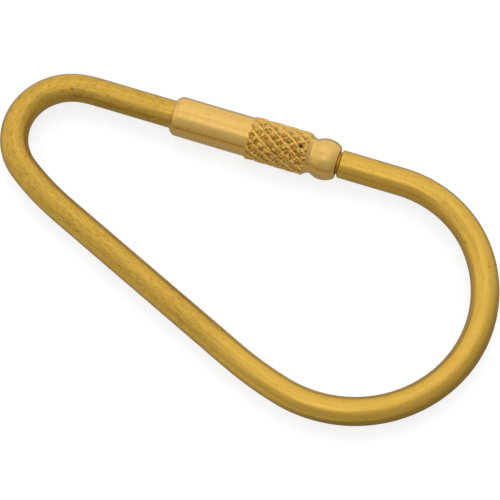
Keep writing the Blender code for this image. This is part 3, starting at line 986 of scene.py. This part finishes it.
# The neck's brown below is painted shade for the narrow gap beside the bead.
HAIR_BROWN = (0.27, 0.165, 0.028)
NECK_SHADE_BROWN = (0.42, 0.20, 0.02)
STREAKS = dict(along=0.045, scale=5200, detail=3.0, roughness=0.6, low=0.36, high=0.66)
PATCHES = dict(along=0.16, scale=420, low=0.4, high=0.68)
FLECKS = dict(along=0.16, scale=3000, roughness=0.6, low=0.42, high=0.62)
PATCH_STRENGTH = 0.45
WORN_EVENLY, WORN_IN_FLECKS = 0.15, 0.45
NECK_SHADE_STRENGTH = 0.85
SCRATCH_STRENGTH = 0.55
PIT_STRENGTH = 0.6
SATIN = dict(along=0.05, scale=3800, low=0.3, high=0.7, to_low=0.28, to_high=0.22)
WORN_ROUGHER = 0.07
DRAWN_LINES = dict(along=0.02, scale=9000, roughness=0.6)
GRAIN = dict(along=0.3, scale=5600, roughness=0.6)
GRAIN_HEIGHT, PIT_DEPTH = 1.5, 2.0
DRAWN_RELIEF = 0.006 * MM


def drawn_colour(tree):
    """Bright brass, dulled in streaks, warmed in patches, dull where worn, with painted shade on the neck,
    and browned in its marks.
    """
    colour = blend(tree, pattern(tree, **STREAKS), DRAWN_DULL, DRAWN_BRIGHT)
    colour = blend(tree, times(tree, pattern(tree, **PATCHES), PATCH_STRENGTH), colour, DRAWN_WARM)
    flecked = plus(tree, times(tree, pattern(tree, **FLECKS), WORN_IN_FLECKS), WORN_EVENLY)
    colour = blend(tree, times(tree, worn_share(tree), flecked), colour, WORN_OLIVE)
    colour = blend(tree, hairs(tree), colour, HAIR_BROWN)
    # Painted shade: the neck in the narrow gap beside the bead is browned.
    colour = blend(tree, times(tree, neck_shade_share(tree), NECK_SHADE_STRENGTH), colour, NECK_SHADE_BROWN)
    marked = marked_share(tree)
    scratched = times(tree, scratches(tree), times(tree, marked, SCRATCH_STRENGTH))
    colour = blend(tree, scratched, colour, SCRATCH_BROWN)
    pitted = times(tree, pattern(tree, **PITS), times(tree, marked, PIT_STRENGTH))
    return blend(tree, pitted, colour, PIT_BROWN)


def drawn_roughness(tree):
    """Satin, a little smoother in some lines, and rougher where the ring is worn."""
    return plus(tree, pattern(tree, **SATIN), times(tree, worn_share(tree), WORN_ROUGHER))


def drawn_relief(tree):
    """Fine lines along the bar and a fine grain, less the pits."""
    raised = plus(tree, noise(tree, **DRAWN_LINES), times(tree, noise(tree, **GRAIN), GRAIN_HEIGHT))
    return less(tree, raised, times(tree, pattern(tree, **PITS), PIT_DEPTH))


drawn_brass = metal("drawn_brass", drawn_colour, drawn_roughness, drawn_relief, DRAWN_RELIEF)

# %% [markdown]
# ## Turned brass
#
# The barrel is a paler brass, cut on a lathe and tumbled to a soft matt. Its lines run round it, so the
# noise is squeezed around, and only the distance along the bar changes fast. They are too fine to see one
# by one. The shader's anisotropy does what all of them do together, and blurs highlights along the bar.

# %% Turned brass
TURNED_BRIGHT = (0.84, 0.535, 0.152)
TURNED_DULL = (0.77, 0.485, 0.130)
RINGS = dict(around=0.06, scale=3600, detail=3.0, roughness=0.6, low=0.3, high=0.7)
CLOUDS = dict(scale=380, low=0.35, high=0.7)
SPECKS = dict(scale=2600, detail=0.0, low=0.80, high=0.85)
RING_STRENGTH, CLOUD_STRENGTH, SPECK_STRENGTH = 0.5, 0.35, 0.7
MATT = dict(around=0.05, scale=3000, low=0.3, high=0.7, to_low=0.30, to_high=0.24)
FEED_LINES = dict(around=0.03, scale=7000, roughness=0.6)
SPECK_DEPTH = 2.0
TURNED_RELIEF, INNER_RELIEF = 0.003 * MM, 0.002 * MM
BRUSHED = dict(Anisotropic=0.85)


def turned_colour(tree):
    """Pale brass with faint rings, clouds and specks."""
    rings = times(tree, pattern(tree, **RINGS), RING_STRENGTH)
    colour = blend(tree, rings, TURNED_BRIGHT, TURNED_DULL)
    colour = blend(tree, times(tree, pattern(tree, **CLOUDS), CLOUD_STRENGTH), colour, TURNED_DULL)
    return blend(tree, times(tree, pattern(tree, **SPECKS), SPECK_STRENGTH), colour, PIT_BROWN)


def turned_roughness(tree):
    """Matt, a little smoother in some rings."""
    return pattern(tree, **MATT)


def turned_relief(tree):
    """Rings from the tool's feed, less the specks."""
    return less(tree, noise(tree, **FEED_LINES), times(tree, pattern(tree, **SPECKS), SPECK_DEPTH))


turned_looks = (turned_colour, turned_roughness, turned_relief)
turned_brass = metal("turned_brass", *turned_looks, TURNED_RELIEF, **BRUSHED)
inner_brass = metal("inner_brass", *turned_looks, INNER_RELIEF)

# %% [markdown]
# ## Knurled brass
#
# A rolled surface is torn and a little warmer than the turned one. Its grooves are browned by depth, partly
# grime and partly painted shade. The browning could be worked out from the mesh's hollows, but the depth is
# known exactly, because the sleeve's points keep it. A broad noise spreads the browning unevenly, a finer
# one adds the torn flecks, and the clots come last.

# %% Knurled brass
KNURL_WARM = (0.82, 0.51, 0.121)
# The groove colour below browns the grooves and the torn flecks: partly grime, partly painted shade.
GROOVE_GRIME_AND_SHADE = (0.14, 0.09, 0.024)
DEEP_DIRT = (0.03, 0.018, 0.006)
GRIME_AND_SHADE_SPREAD = dict(scale=1500, detail=3.0, roughness=0.6)
SPREAD_STRENGTH, GRIME_AND_SHADE_REACH, GRIME_AND_SHADE_STRENGTH = 0.8, (0.75, 1.6), 0.45
CLOT_GRAIN = dict(scale=3200, roughness=0.7, low=0.45, high=0.62)
GRAIN_LEAST, CLOT_EDGE, CLOT_STRENGTH = 0.5, (0.35, 0.6), 0.9
TORN = dict(scale=3600, roughness=0.6, low=0.54, high=0.66)
TORN_STRENGTH, WARM_STRENGTH = 0.4, 0.85
BAND_ROUGHER = 0.02


def knurl_colour(tree):
    """Turned brass, warmer on the rolled band, browner down its grooves as grime and painted shade, with a
    few black clots.
    """
    band = mark(tree, "band")
    colour = blend(tree, times(tree, band, WARM_STRENGTH), turned_colour(tree), KNURL_WARM)
    spread = times(tree, noise(tree, **GRIME_AND_SHADE_SPREAD), SPREAD_STRENGTH)
    # Painted shade with grime: browner the deeper a point lies and along the ridges' feet.
    grime_and_shade = between(tree, plus(tree, mark(tree, "groove"), spread), *GRIME_AND_SHADE_REACH)
    torn = times(tree, pattern(tree, **TORN), times(tree, band, TORN_STRENGTH))
    soiled_and_shaded = combine(tree, "MAXIMUM", torn, times(tree, grime_and_shade, GRIME_AND_SHADE_STRENGTH))
    colour = blend(tree, soiled_and_shaded, colour, GROOVE_GRIME_AND_SHADE)
    grain = plus(tree, pattern(tree, **CLOT_GRAIN), GRAIN_LEAST)
    black = between(tree, times(tree, mark(tree, "clot"), grain), *CLOT_EDGE)
    return blend(tree, times(tree, black, CLOT_STRENGTH), colour, DEEP_DIRT)


def knurl_roughness(tree):
    """As the turned part, and a little rougher on the rolled band."""
    return plus(tree, turned_roughness(tree), times(tree, mark(tree, "band"), BAND_ROUGHER))


knurl_looks = (knurl_colour, knurl_roughness, turned_relief)
knurled_brass = metal("knurled_brass", *knurl_looks, TURNED_RELIEF, **BRUSHED)

# %% [markdown]
# ## The sky
#
# A product photograph like this is taken in front of a white ground that rises behind the object, with the
# dim room on the camera's side. Round rods mirror it all, so the surround is part of the look. Walls could
# be built, but a sky has no edges: one smooth field, bright behind and dim in front, with a crown overhead
# and a dim gap on one side. The camera itself sees plain white.

# %% Sky
SKY_MIDDLE = 0.66
SKY_CLIMB = 0.20
SKY_CROWN = 0.20
CROWN_SHARPNESS = 8.0
BRIGHT_AZIMUTH = math.radians(337)
BRIGHT_SHARE = 0.23
BRIGHT_EDGE = 0.6
GAP_AZIMUTH = math.radians(287)
GAP_ELEVATION = math.radians(66)
GAP_REACH = (0.927, 0.995)
GAP_DEPTH = 0.25
WHITE = (1, 1, 1, 1)


def way_to(azimuth, elevation):
    """The way to an elevation and an azimuth, clockwise from straight behind the ring."""
    turned_to = azimuth + CAMERA_AZIMUTH
    flat = math.cos(elevation)
    return Vector((math.sin(turned_to) * flat, math.cos(turned_to) * flat, math.sin(elevation)))


def make_sky():
    """Light by direction: a climb to the zenith, plus or minus a share towards the bright side."""
    world = bpy.data.worlds.new("studio")
    world.use_nodes = True
    tree = world.node_tree
    way = add(tree, "ShaderNodeTexCoord").outputs["Generated"]
    height = add(tree, "ShaderNodeClamp", {0: vector_sum(tree, "DOT_PRODUCT", way, (0, 0, 1))}).outputs[0]
    crown = times(tree, combine(tree, "POWER", height, CROWN_SHARPNESS), SKY_CROWN)
    climb = plus(tree, times(tree, height, SKY_CLIMB), SKY_MIDDLE)
    side = vector_sum(tree, "DOT_PRODUCT", way, way_to(BRIGHT_AZIMUTH, 0))
    share = between(tree, side, -BRIGHT_EDGE, BRIGHT_EDGE, -BRIGHT_SHARE, BRIGHT_SHARE)
    towards_gap = vector_sum(tree, "DOT_PRODUCT", way, way_to(GAP_AZIMUTH, GAP_ELEVATION))
    gap = between(tree, towards_gap, *GAP_REACH, 0.0, GAP_DEPTH)
    light = less(tree, plus(tree, plus(tree, crown, climb), share), gap)
    seen = add(tree, "ShaderNodeLightPath").outputs["Is Camera Ray"]
    level = add(tree, "ShaderNodeMix", {0: seen, 2: light, 3: 1.0}, data_type="FLOAT").outputs[0]
    background = tree.nodes["Background"]
    background.inputs["Color"].default_value = WHITE
    tree.links.new(level, background.inputs["Strength"])
    bpy.context.scene.world = world
    return world


sky = make_sky()
print("sky:", len(sky.node_tree.nodes), "nodes")

# %% [markdown]
# ## The lamp
#
# One long soft lamp hangs over the ring, a little to the camera's side. A sun lamp would give hard shadows
# and a point lamp a dot. An area lamp gives a bright line along the round rods, and its size sets the
# line's width.

# %% Lamp
LAMP_DISTANCE = 0.6
LAMP_SIZE = (0.27, 0.30)
LAMP_POWER = 0.10
LAMP_COLOUR = (1.0, 0.97, 1.1)
LAMP_AZIMUTH = math.radians(200)
LAMP_ELEVATION = math.radians(73)


def make_lamp():
    """Hang the lamp facing the ring's middle, with its length running the way that it leans."""
    lamp = bpy.data.lights.new("long_lamp", "AREA")
    lamp.shape = "RECTANGLE"
    lamp.size, lamp.size_y = LAMP_SIZE
    lamp.energy = LAMP_POWER
    lamp.color = LAMP_COLOUR
    holder = new_object("long_lamp", lamp)
    back = way_to(LAMP_AZIMUTH, LAMP_ELEVATION)
    length = way_to(LAMP_AZIMUTH, LAMP_ELEVATION - TURN / 4)
    faced = Matrix((length, back.cross(length), back)).transposed()
    holder.matrix_world = Matrix.Translation(back * LAMP_DISTANCE) @ faced.to_4x4()
    return holder


lamp_holder = make_lamp()
print("lamp hangs in mm at:", [round(v / MM) for v in lamp_holder.matrix_world.translation])

# %% [markdown]
# ## The floor
#
# The ring lies on a pale sheet. The photograph shows it pure white, and yet the undersides of the rods
# mirror an uneven, dimmer ground. More lamps would burn the brass out. So the sheet is a middle grey that
# catches the ring's shadow, and adds light of its own to two kinds of ray: white to the camera's, and to
# the mirrored ones a ground that is lighter behind, at the near left and in the middle, and darker at the
# near right.

# %% Floor
FLOOR_HALF = 1.5
FLOOR_GREY = 0.34
FLOOR_ROUGHNESS = 0.2
FLOOR_GLOW = 0.76
MIRRORED_BASE = 0.11
BEHIND, BEHIND_REACH, BEHIND_LIGHT = 0.0, (0.01, 0.06), 0.35
NEAR_LEFT, LEFT_REACH, LEFT_LIGHT = math.radians(225), (0.017, 0.023), 0.26
NEAR_RIGHT, RIGHT_REACH, RIGHT_DARK = math.radians(150), (0.022, 0.034), 0.11
MIDDLE_REACH, MIDDLE_LIGHT = (0.012, 0.030), 0.06


def ground_share(tree, place, azimuth, reach, amount):
    """A share that grows from 0 to amount over the two distances of reach, towards an azimuth."""
    return between(tree, vector_sum(tree, "DOT_PRODUCT", place, way_to(azimuth, 0)), *reach, 0.0, amount)


def mirrored_ground(tree):
    """The ground's light in what mirrors it, by the place on the sheet in metres from the ring's middle."""
    place = add(tree, "ShaderNodeTexCoord").outputs["Object"]
    lighter = ground_share(tree, place, BEHIND, BEHIND_REACH, BEHIND_LIGHT)
    lighter = plus(tree, lighter, ground_share(tree, place, NEAR_LEFT, LEFT_REACH, LEFT_LIGHT))
    away = vector_sum(tree, "LENGTH", place)
    lighter = plus(tree, lighter, between(tree, away, *MIDDLE_REACH, MIDDLE_LIGHT, 0.0))
    lighter = less(tree, lighter, ground_share(tree, place, NEAR_RIGHT, RIGHT_REACH, RIGHT_DARK))
    return plus(tree, lighter, MIRRORED_BASE)


def make_floor():
    """A pale satin sheet, with its light for the camera and for what mirrors it added as emission."""
    mesh = bpy.data.meshes.new("floor")
    corners = np.array([[-1, -1, 0], [1, -1, 0], [1, 1, 0], [-1, 1, 0]]) * FLOOR_HALF
    fill_mesh(mesh, corners, np.array([[0, 1, 2, 3]]), np.zeros((0, 3), int))
    floor = new_object("floor", mesh)
    material = bpy.data.materials.new("paper")
    material.use_nodes = True
    tree = material.node_tree
    shader = tree.nodes["Principled BSDF"]
    shader.inputs["Base Color"].default_value = (FLOOR_GREY, FLOOR_GREY, FLOOR_GREY, 1)
    shader.inputs["Roughness"].default_value = FLOOR_ROUGHNESS
    shader.inputs["Emission Color"].default_value = WHITE
    path = add(tree, "ShaderNodeLightPath")
    camera_share = times(tree, path.outputs["Is Camera Ray"], FLOOR_GLOW)
    mirror_share = times(tree, path.outputs["Is Glossy Ray"], mirrored_ground(tree))
    tree.links.new(plus(tree, camera_share, mirror_share), shader.inputs["Emission Strength"])
    mesh.materials.append(material)
    return floor


floor = make_floor()
print("floor is", 2 * FLOOR_HALF, "m wide, with", len(floor.data.materials[0].node_tree.nodes), "nodes")

# %% [markdown]
# ## Putting it together
#
# Each piece gets its finish, takes the place of the CAD solid that stands for it, and rides on the body
# that carries that solid. The rod and its collar stay still, the washer slides, and the sleeve and bead
# turn and slide together. It could be done piece by piece, but a table shows it all in one place.

# %% Assembly
PIECES = [
    (bent_rod, "wire_ring", "ring", drawn_brass, "drawn_brass"),
    (riveted_collar, "retaining_head", "ring", inner_brass, "inner_brass"),
    (thin_washer, "thrust_washer", "slider", inner_brass, "inner_brass"),
    (knurled_sleeve, "barrel_sleeve", "barrel", knurled_brass, "turned_brass"),
    (bead_end, "bead_nut", "barrel", turned_brass, "turned_brass"),
]


def spill(piece, node):
    """How far a piece stands past its solid's box along x, y and z, in micrometres."""
    points = np.empty(3 * len(piece.data.vertices), np.float32)
    piece.data.vertices.foreach_get("co", points)
    points = points.reshape(-1, 3)
    low, high = (np.array(corner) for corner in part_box(node))
    past = np.maximum(low - points.min(axis=0), points.max(axis=0) - high)
    return [round(float(v) * 1000 / MM) for v in past]


for piece, node, body, material, slot in PIECES:
    piece.data.materials.append(material)
    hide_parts(node)
    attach(piece, body)
    print(piece.name, "rides on", body, "and stands past its solid by micrometres:", spill(piece, node))

# %% [markdown]
# ## View
#
# A filmic view would wash out the brass, so colours are shown as they are, with the Standard view.

# %% View
bpy.context.scene.view_settings.view_transform = "Standard"
